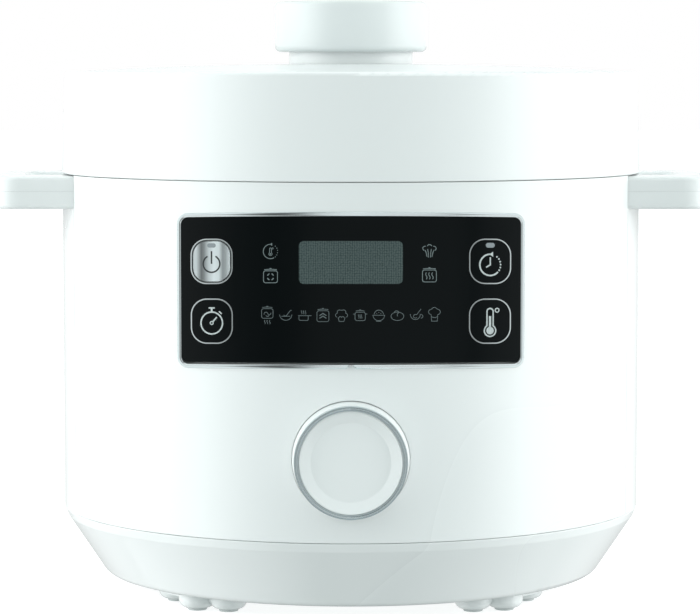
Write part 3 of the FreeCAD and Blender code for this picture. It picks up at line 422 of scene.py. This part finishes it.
class Artwork:
    """Flat printed shapes laid on a curved face, in millimetres of the front view."""

    LIFT = 0.03 * MM

    def __init__(self, radius):
        self.radius = radius + self.LIFT
        self.vertices = []
        self.faces = []
        self.origin = (0.0, 0.0)

    def at(self, u, v):
        self.origin = (u, v)
        return self

    def add(self, points):
        first = len(self.vertices)
        u0, v0 = self.origin
        self.vertices += [on_panel(u0 + u, v0 + v, self.radius) for u, v in points]
        return first

    def line(self, points, width, closed=False):
        """Ribbon of constant width with mitred bends."""
        count = len(points)
        sides = []
        for i, (u, v) in enumerate(points):
            before = points[i - 1] if closed or i else points[i]
            after = points[(i + 1) % count] if closed or i < count - 1 else points[i]
            ahead = Vector(after) - Vector((u, v))
            back = Vector((u, v)) - Vector(before)
            ahead = ahead.normalized() if ahead.length else back.normalized()
            back = back.normalized() if back.length else ahead
            along = (ahead + back).normalized()
            side = Vector((-along.y, along.x))
            stretch = 1.0 / max(0.5, side.dot(Vector((-ahead.y, ahead.x))))
            reach = side * (width / 2 * stretch)
            sides.append((u + reach.x, v + reach.y))
            sides.append((u - reach.x, v - reach.y))
        first = self.add(sides)
        for i in range(count if closed else count - 1):
            a, b = first + 2 * i, first + 2 * ((i + 1) % count)
            self.faces.append((a, a + 1, b + 1, b))
        return self

    def ring(self, cx, cy, radius, width):
        return self.line(arc(cx, cy, radius, 0, 348, 30), width, True)

    def fill(self, points):
        """Filled outline, as a fan about its middle."""
        count = len(points)
        middle = (sum(p[0] for p in points) / count, sum(p[1] for p in points) / count)
        first = self.add([middle, *points])
        for i in range(count):
            self.faces.append((first, first + 1 + i, first + 1 + (i + 1) % count))
        return self

    def dot(self, cx, cy, radius):
        return self.fill(arc(cx, cy, radius, 0, 330, 11))

    def piece(self, name, material, body):
        return new_piece(name, self.vertices, self.faces, material, body)


def add_panel_trim():
    """Bright frame round the panel: a low ridge with two rounded slopes and a small arch."""
    # distance in from the outline, and height above the wall
    profile = ((0.0, -0.3), (0.0, 0.55), (0.12, 0.78), (0.40, 0.98), (0.85, 1.16), (1.05, 1.20),
               (1.25, 1.16), (1.70, 0.98), (1.98, 0.78), (2.10, 0.55), (2.10, -0.3))
    arch_half, arch_rise = 2.0, 1.7
    corner_steps, side_steps = 10, 160
    half_h, middle = (FRAME_V[1] - FRAME_V[0]) / 2, sum(FRAME_V) / 2
    vertices, faces = [], []
    for inset, height in profile:
        corner = max(FRAME_CORNER - inset, 0.1)
        loop = rounded_loop(FRAME_HALF - inset, half_h - inset, corner, corner_steps, side_steps)
        for u, v in loop:
            rise = 0.0
            if abs(u) < arch_half and v < 0:
                rise = arch_rise * math.sqrt(1 - (u / arch_half) ** 2)
            v = max(v, rise - half_h)
            vertices.append(on_panel(u, v + middle, BODY_R + height * MM))
    count = len(loop)
    for row in range(len(profile) - 1):
        for i in range(count):
            a, b = row * count + i, row * count + (i + 1) % count
            faces.append((a, b, b + count, a + count))
    new_piece("panel_trim", vertices, faces, CHROME, ROOT, "panel_frame")


# ------------------------------------------------------------------ pictograms on the keys
def draw_power(art):
    """Open ring with an upright bar in its gap."""
    centre, radius, stroke = -1.2, 4.15, 0.75
    art.line(arc(0, centre, radius, 118, 422, 40), stroke)
    art.line([(0, centre), (0, 5.0)], stroke)


def draw_timer(art):
    """Stopwatch."""
    cy, stroke = -0.9, 0.7
    art.ring(0, cy, 5.4, stroke)
    art.line([(0, cy + 5.4), (0, cy + 7.2)], 0.9)
    art.line([(-1.5, cy + 7.4), (1.5, cy + 7.4)], stroke)
    angle = math.radians(50)
    reach = Vector((math.cos(angle), math.sin(angle)))
    across = Vector((-reach.y, reach.x)) * 0.9
    button = Vector((0, cy)) + reach * 6.7
    art.line([tuple(button - across), tuple(button + across)], 0.6)
    art.line([(0.5, cy + 0.55), (2.5, cy + 2.9)], stroke)
    art.ring(0, cy, 0.75, 0.45)


def draw_delay(art):
    """Clock with a running arrow, its right half dotted."""
    cy, radius = -1.7, 5.2
    art.line(arc(0, cy, radius, 92, 318, 36), 0.8)
    for angle in range(-30, 66, 16):
        turn = math.radians(angle)
        art.dot(radius * math.cos(turn), cy + radius * math.sin(turn), 0.45)
    art.fill([(-0.5, cy + radius), (1.4, cy + radius + 1.25), (1.4, cy + radius - 1.25)])
    art.line([(0, cy + 3.7), (0, cy), (-2.1, cy - 1.2)], 0.65)


def draw_temperature(art):
    """Thermometer and a degree sign."""
    tube, bulb, bulb_y, top = 1.55, 2.85, -4.65, 4.7
    shoulder = math.degrees(math.acos(tube / bulb))
    outline = arc(0, top, tube, 0, 180, 14)
    outline += arc(0, bulb_y, bulb, 180 - shoulder, 360 + shoulder, 30)
    art.line(outline, 0.65, True)
    art.dot(0, bulb_y, 1.9)
    art.line([(0, bulb_y), (0, 2.5)], 1.15)
    art.ring(3.5, 5.35, 0.95, 0.5)


def draw_pill(art, cy, half_w, half_h):
    """Lamp window with round ends."""
    art.fill([(u, v + cy) for u, v in rounded_loop(half_w, half_h, half_h - 0.02, 6)])


# ------------------------------------------------------------------ pictograms on the glass
SIDE_STROKE = 0.34
ROW_STROKE = 0.27


def draw_lidded_pot(art, half, low, high, stroke):
    """Rounded pot from the front, with a lid line and a knob."""
    middle, rise = (low + high) / 2, (high - low) / 2
    art.line([(u, v + middle) for u, v in rounded_loop(half, rise, 1.0, 6)], stroke, True)
    art.line([(-half + 0.3, high + 0.55), (-0.9, high + 0.75), (0.9, high + 0.75),
              (half - 0.3, high + 0.55)], stroke)
    art.line([(-0.45, high + 1.15), (0.45, high + 1.15)], stroke)


def draw_warmth(art):
    """Clock ring with an arrow and a small thermometer."""
    radius = 3.5
    art.line(arc(0, 0, radius, 95, 300, 26), SIDE_STROKE)
    for angle in range(-48, 66, 19):
        turn = math.radians(angle)
        art.dot(radius * math.cos(turn), radius * math.sin(turn), 0.22)
    art.fill([(-0.3, radius), (0.8, radius + 0.7), (0.8, radius - 0.7)])
    art.line([*arc(0, 1.3, 0.45, 0, 180, 6), *arc(0, -1.2, 0.8, 124, 416, 12)], 0.26, True)
    art.dot(0, -1.2, 0.4)
    art.ring(1.1, 1.5, 0.3, 0.2)


def draw_closed_pot(art):
    """Pot with a dashed ring on it."""
    draw_lidded_pot(art, 3.4, -3.2, 2.6, SIDE_STROKE)
    for start in range(20, 380, 90):
        art.line(arc(0, -0.3, 1.55, start, start + 50, 6), 0.5)


def draw_steam(art):
    """Steam that spreads from a vent."""
    for side in (-1, 1):
        art.line([(side * 0.5, -3.1), (side * 0.65, -0.5), (side * 0.9, 1.0)], SIDE_STROKE)
        art.line([(side * 1.2, -2.8), (side * 1.7, -0.6), (side * 2.2, 0.5)], SIDE_STROKE)
        lobe = [(side * u, v) for u, v in arc(2.2, 1.3, 1.05, -70, 110, 12)]
        art.line(lobe, SIDE_STROKE)
    art.line(arc(0, 1.9, 1.25, 25, 155, 12), SIDE_STROKE)


def draw_simmer(art):
    """Pot with three wavy lines."""
    draw_lidded_pot(art, 3.4, -3.2, 2.6, SIDE_STROKE)
    for u in (-1.5, 0, 1.5):
        art.line(wave(u, -1.9, 1.4, 0.35), SIDE_STROKE)


def draw_stew(art):
    """Pot being stirred over heat."""
    draw_lidded_pot(art, 2.8, -1.5, 3.2, ROW_STROKE)
    art.line([*arc(-0.7, 0.6, 0.9, 200, 20, 8), *arc(1.0, 0.9, 0.7, 200, 380, 8)], ROW_STROKE)
    art.line(arc(0.1, 0.2, 0.8, 200, 340, 8), ROW_STROKE)
    for u in (-1.2, 0, 1.2):
        art.line(wave(u, -4.3, -2.4, 0.2), ROW_STROKE)


def draw_soup(art):
    """Wide bowl with a ladle."""
    art.line([(-3.0, 0.3), *arc(0, 0.1, 2.9, 188, 352, 16, 0.88), (3.0, 0.3)], ROW_STROKE)
    art.line([(-2.2, -0.5), (2.2, -0.5)], ROW_STROKE)
    art.line([*arc(-0.2, 0.5, 0.85, 200, 340, 8), (2.3, 2.4), (2.9, 2.4)], ROW_STROKE)


def draw_pan(art):
    """Pan with a long handle and rising heat."""
    art.line([(-2.6, -0.2), *arc(-2.0, -1.9, 0.6, 180, 270, 4), *arc(1.3, -1.9, 0.6, 270, 360, 4),
              (1.9, -0.2)], ROW_STROKE)
    art.line([(-3.0, -0.2), (3.5, -0.2)], ROW_STROKE)
    for u in (-1.3, -0.35, 0.6):
        art.line(wave(u, 0.5, 2.3, 0.18), ROW_STROKE)


def draw_slow(art):
    """Lidded pot with two chevrons."""
    draw_lidded_pot(art, 2.9, -3.1, 2.2, ROW_STROKE)
    for v in (-1.5, -0.2):
        art.line([(-1.7, v), (0, v + 1.1), (1.7, v)], 0.45)


def draw_cake(art):
    """Risen cake in its case."""
    crown = [*arc(-1.9, 0.0, 1.0, 250, 100, 8), *arc(-1.0, 1.5, 1.1, 170, 60, 6),
             *arc(1.0, 1.5, 1.1, 120, 10, 6), *arc(1.9, 0.0, 1.0, 80, -70, 8)]
    art.line(crown, ROW_STROKE)
    art.line([(-1.7, -1.0), (-1.1, -3.0), (1.1, -3.0), (1.7, -1.0)], ROW_STROKE)
    art.line(arc(-0.6, -1.2, 0.6, 0, 180, 6), ROW_STROKE)
    art.line(arc(0.6, -1.2, 0.6, 0, 180, 6), ROW_STROKE)


def draw_casserole(art):
    """Casserole with two handles."""
    draw_lidded_pot(art, 2.5, -2.6, 1.5, ROW_STROKE)
    for side in (-1, 1):
        art.line([(side * 2.5, 0.6), (side * 3.4, 0.6)], ROW_STROKE)
    for u in (-0.7, 0.0, 0.7):
        art.line(wave(u, -1.6, 0.4, 0.15), 0.28)


def draw_rice(art):
    """Heaped bowl."""
    art.line([(-2.9, 0), *arc(0, 0, 2.8, 186, 354, 16, 0.95), (2.9, 0)], ROW_STROKE, True)
    art.line(arc(0, 0.1, 2.3, 8, 172, 14, 1.05), ROW_STROKE)
    for u, v in ((-1.0, 0.9), (0.0, 1.4), (1.0, 0.9)):
        art.dot(u, v, 0.2)
    art.line([(-1.2, -2.9), (1.2, -2.9)], ROW_STROKE)


def draw_porridge(art):
    """Low round dish."""
    art.line(arc(0, -0.5, 3.1, 0, 348, 28, 0.66), ROW_STROKE, True)
    art.line(arc(-0.4, 1.1, 1.1, 10, 170, 8), ROW_STROKE)
    art.line(arc(0.9, 0.2, 1.0, 100, 220, 8), 0.28)


def draw_yoghurt(art):
    """Cup with a whisk."""
    art.line([(-2.7, 0.6), *arc(-0.3, 0.4, 2.4, 184, 356, 16, 1.05), (2.1, 0.6)], ROW_STROKE)
    art.line(arc(2.5, -0.5, 0.9, 260, 460, 8), ROW_STROKE)
    art.line([(0.3, 0.2), (2.5, 3.1)], ROW_STROKE)
    art.line(arc(-0.3, -0.5, 0.9, 50, 330, 10), ROW_STROKE)


def draw_chef(art):
    """Cook's hat."""
    art.line([*arc(-1.7, 1.6, 1.2, 265, 100, 8), *arc(0, 2.5, 1.3, 150, 30, 8),
              *arc(1.7, 1.6, 1.2, 80, -85, 8)], ROW_STROKE)
    art.line([(-1.6, 0.4), (-1.4, -2.9), (1.4, -2.9), (1.6, 0.4)], ROW_STROKE)
    art.line(arc(0, -0.4, 1.5, 200, 340, 8, 0.5), ROW_STROKE)


def add_key_prints():
    """The symbol of each key, and the lamp windows of two of them."""
    drawings = {"power": draw_power, "timer": draw_timer, "delay": draw_delay,
                "temperature": draw_temperature}
    lamps = {"power": (7.8, 2.15, 1.08), "delay": (7.9, 2.25, 1.2)}
    for name, (u, v) in KEYS.items():
        art = Artwork(KEY_R).at(u, v)
        drawings[name](art)
        ink = PRINT_DARK if name == "power" else PRINT_BRIGHT
        art.piece(f"{name}_print", ink, f"key_{name}")
    for name, window in lamps.items():
        lamp = Artwork(KEY_R).at(*KEYS[name])
        draw_pill(lamp, *window)
        lamp.piece(f"{name}_lamp", PILL, f"key_{name}")


def add_glass_prints():
    """Two symbols on each side of the display, and the row of programmes below it."""
    side = Artwork(GLASS_R)
    for (u, v), draw in {
        (-39.0, 187.2): draw_warmth,
        (-39.0, 175.2): draw_closed_pot,
        (38.1, 187.4): draw_steam,
        (38.1, 175.6): draw_simmer,
    }.items():
        draw(side.at(u, v))
    side.piece("side_prints", PRINT_MID, ROOT)
    row = Artwork(GLASS_R)
    programmes = (draw_stew, draw_soup, draw_pan, draw_slow, draw_cake, draw_casserole, draw_rice,
                  draw_porridge, draw_yoghurt, draw_chef)
    first, pitch, row_v = -40.6, 9.02, 156.2
    for i, draw in enumerate(programmes):
        draw(row.at(first + pitch * i, row_v))
    row.piece("programme_prints", PRINT_DIM, ROOT)


# ------------------------------------------------------------------ camera, light and floor
# ambient brightness from straight below (0) to straight above (1)
AMBIENT = ((0.0, 0.58), (0.45, 0.62), (0.55, 0.82), (1.0, 0.90))
AMBIENT_TINT = (0.90, 1.0, 0.99, 1.0)
# brightness seen in reflections, by azimuth from the front in degrees
FRONT_ROOM = ((-180, 1.0), (-75, 1.0), (-55, 0.60), (-40, 0.20), (-30, 0.10), (-22, 0.20),
              (-12, 0.50), (0, 0.55), (40, 0.55), (48, 0.30), (56, 0.60), (75, 1.0), (180, 1.0))
UPPER_ROOM = ((-180, 1.0), (-56, 1.0), (-42, 0.30), (-31, 0.04), (-23, 0.25), (-13, 0.85),
              (0, 0.95), (38, 0.90), (48, 0.42), (57, 1.0), (180, 1.0))
# below the horizon the far side of the room is darker
FAR_FLOOR = ((-180, 0.35), (-162, 0.62), (-145, 1.0), (145, 1.0), (162, 0.62), (180, 0.35))


def add_camera():
    """Long lens, level with the knob and looking slightly down."""
    distance, height, pitch = 1.5945, 0.2744, math.radians(4.529)
    sensor, focal_px, frame_px = 36.0, 2987.2, 700.0
    data = bpy.data.cameras.new("camera")
    data.sensor_width = sensor
    data.lens = focal_px / frame_px * sensor
    camera = bpy.data.objects.new("camera", data)
    camera.location = (-0.00043, -distance, height)
    camera.rotation_euler = (math.radians(90) - pitch, 0.0, 0.0)
    bpy.context.scene.collection.objects.link(camera)
    bpy.context.scene.camera = camera


def add_softbox(name, location, target, size, power):
    """Rectangular light that faces a point."""
    data = bpy.data.lights.new(name, "AREA")
    data.shape = "RECTANGLE"
    data.size, data.size_y = size
    data.energy = power
    light = bpy.data.objects.new(name, data)
    light.location = location
    aim = Vector(target) - Vector(location)
    light.rotation_euler = aim.to_track_quat("-Z", "Y").to_euler()
    bpy.context.scene.collection.objects.link(light)
    return light


def background(tree, color=(1.0, 1.0, 1.0, 1.0)):
    """Background shader, with a fixed colour or the colour from a node's output."""
    made = tree.nodes.new("ShaderNodeBackground")
    if isinstance(color, tuple):
        made.inputs["Color"].default_value = color
    else:
        tree.links.new(color, made.inputs["Color"])
    return made.outputs["Background"]


def calculated(tree, operation, *values):
    """Math node over fixed numbers and other nodes' outputs."""
    made = tree.nodes.new("ShaderNodeMath")
    made.operation = operation
    for socket, value in zip(made.inputs, values):
        if isinstance(value, float):
            socket.default_value = value
        else:
            tree.links.new(value, socket)
    return made.outputs["Value"]


def mixed(tree, blend_type, factor, first, second):
    """Colour mix. The factor is 1 or an output, and the second colour is fixed or an output."""
    made = tree.nodes.new("ShaderNodeMix")
    made.data_type, made.blend_type = "RGBA", blend_type
    for socket, value in (("Factor", factor), ("A", first), ("B", second)):
        if isinstance(value, (float, tuple)):
            made.inputs[socket].default_value = value
        else:
            tree.links.new(value, made.inputs[socket])
    return made.outputs["Result"]


def choice(tree, fac, first, second):
    """Shader that is the first one where fac is 0 and the second one where it is 1."""
    made = tree.nodes.new("ShaderNodeMixShader")
    for socket, value in zip(made.inputs, (fac, first, second)):
        tree.links.new(value, socket)
    return made.outputs["Shader"]


def by_azimuth(pairs):
    """Ramp stops for a full turn, from degrees and brightness."""
    return [(0.5 + degrees / 360, value) for degrees, value in pairs]


def add_world():
    """White surround. Reflections see a darker room in front and two dark flags."""
    world = bpy.data.worlds.new("studio")
    world.use_nodes = True
    tree = world.node_tree
    direction = tree.nodes.new("ShaderNodeSeparateXYZ")
    tree.links.new(tree.nodes.new("ShaderNodeTexCoord").outputs["Generated"], direction.inputs["Vector"])
    x, y, z = (direction.outputs[axis] for axis in "XYZ")
    azimuth = calculated(tree, "ARCTAN2", x, calculated(tree, "MULTIPLY", y, -1.0))
    turn = calculated(tree, "ADD", calculated(tree, "DIVIDE", azimuth, 2 * math.pi), 0.5)
    rise = calculated(tree, "MULTIPLY_ADD", z, 0.5, 0.5)

    level = ramp_of(tree, turn, by_azimuth(FRONT_ROOM))
    high = ramp_of(tree, turn, by_azimuth(UPPER_ROOM))
    to_high = ramp_of(tree, calculated(tree, "ABSOLUTE", z), [(0.12, 0.0), (0.34, 1.0)])
    room = mixed(tree, "MIX", to_high, level, high)
    below = ramp_of(tree, rise, [(0.49, 1.0), (0.50, 0.0)])
    far_floor = ramp_of(tree, turn, by_azimuth(FAR_FLOOR))
    mirrored = background(tree, mixed(tree, "MULTIPLY", below, room, far_floor))
    ambient = background(tree, mixed(tree, "MULTIPLY", 1.0, ramp_of(tree, rise, AMBIENT), AMBIENT_TINT))

    path = tree.nodes.new("ShaderNodeLightPath").outputs
    unseen = choice(tree, path["Is Glossy Ray"], ambient, mirrored)
    surround = choice(tree, path["Is Camera Ray"], unseen, background(tree))
    tree.links.new(surround, tree.nodes["World Output"].inputs["Surface"])
    bpy.context.scene.world = world


def add_floor():
    """Plain pale floor that runs out to the horizon behind the object."""
    half_width, front, back = 6.0, -1.3, 12.0
    mesh = bpy.data.meshes.new("floor")
    corners = [(-half_width, front, 0), (half_width, front, 0), (half_width, back, 0),
               (-half_width, back, 0)]
    mesh.from_pydata(corners, [], [(0, 1, 2, 3)])
    floor = bpy.data.objects.new("floor", mesh)
    bpy.context.scene.collection.objects.link(floor)
    s = Surface("pale_floor", (0.45, 0.455, 0.455), 0.8)
    s.set("Specular IOR Level", 0.0)
    s.tint(s.noise(3.0, 2.0), (0.447, 0.452, 0.452))
    s.set("Emission Color", (1.0, 1.0, 1.0, 1.0))
    s.set("Emission Strength", 0.75)
    mesh.materials.append(s.material)
    floor.visible_diffuse = False
    floor.visible_glossy = False


def add_lights():
    """A large softbox on each side, kept out of reflections, and a weak one above."""
    body_middle, lid_level = (0, 0, 0.14), (0, 0, 0.2)
    for name, x, y in (("left_softbox", -1.6, -0.30), ("right_softbox", 1.6, -0.15)):
        softbox = add_softbox(name, (x, y, 0.25), body_middle, (1.6, 1.6), 32.0)
        softbox.visible_glossy = False
    add_softbox("top_softbox", (0.0, 0.5, 1.7), lid_level, (1.4, 1.4), 4.0)


add_finishes()
add_panel_trim()
add_key_prints()
add_glass_prints()
add_camera()
add_world()
add_floor()
add_lights()
bpy.context.scene.view_settings.view_transform = "Standard"
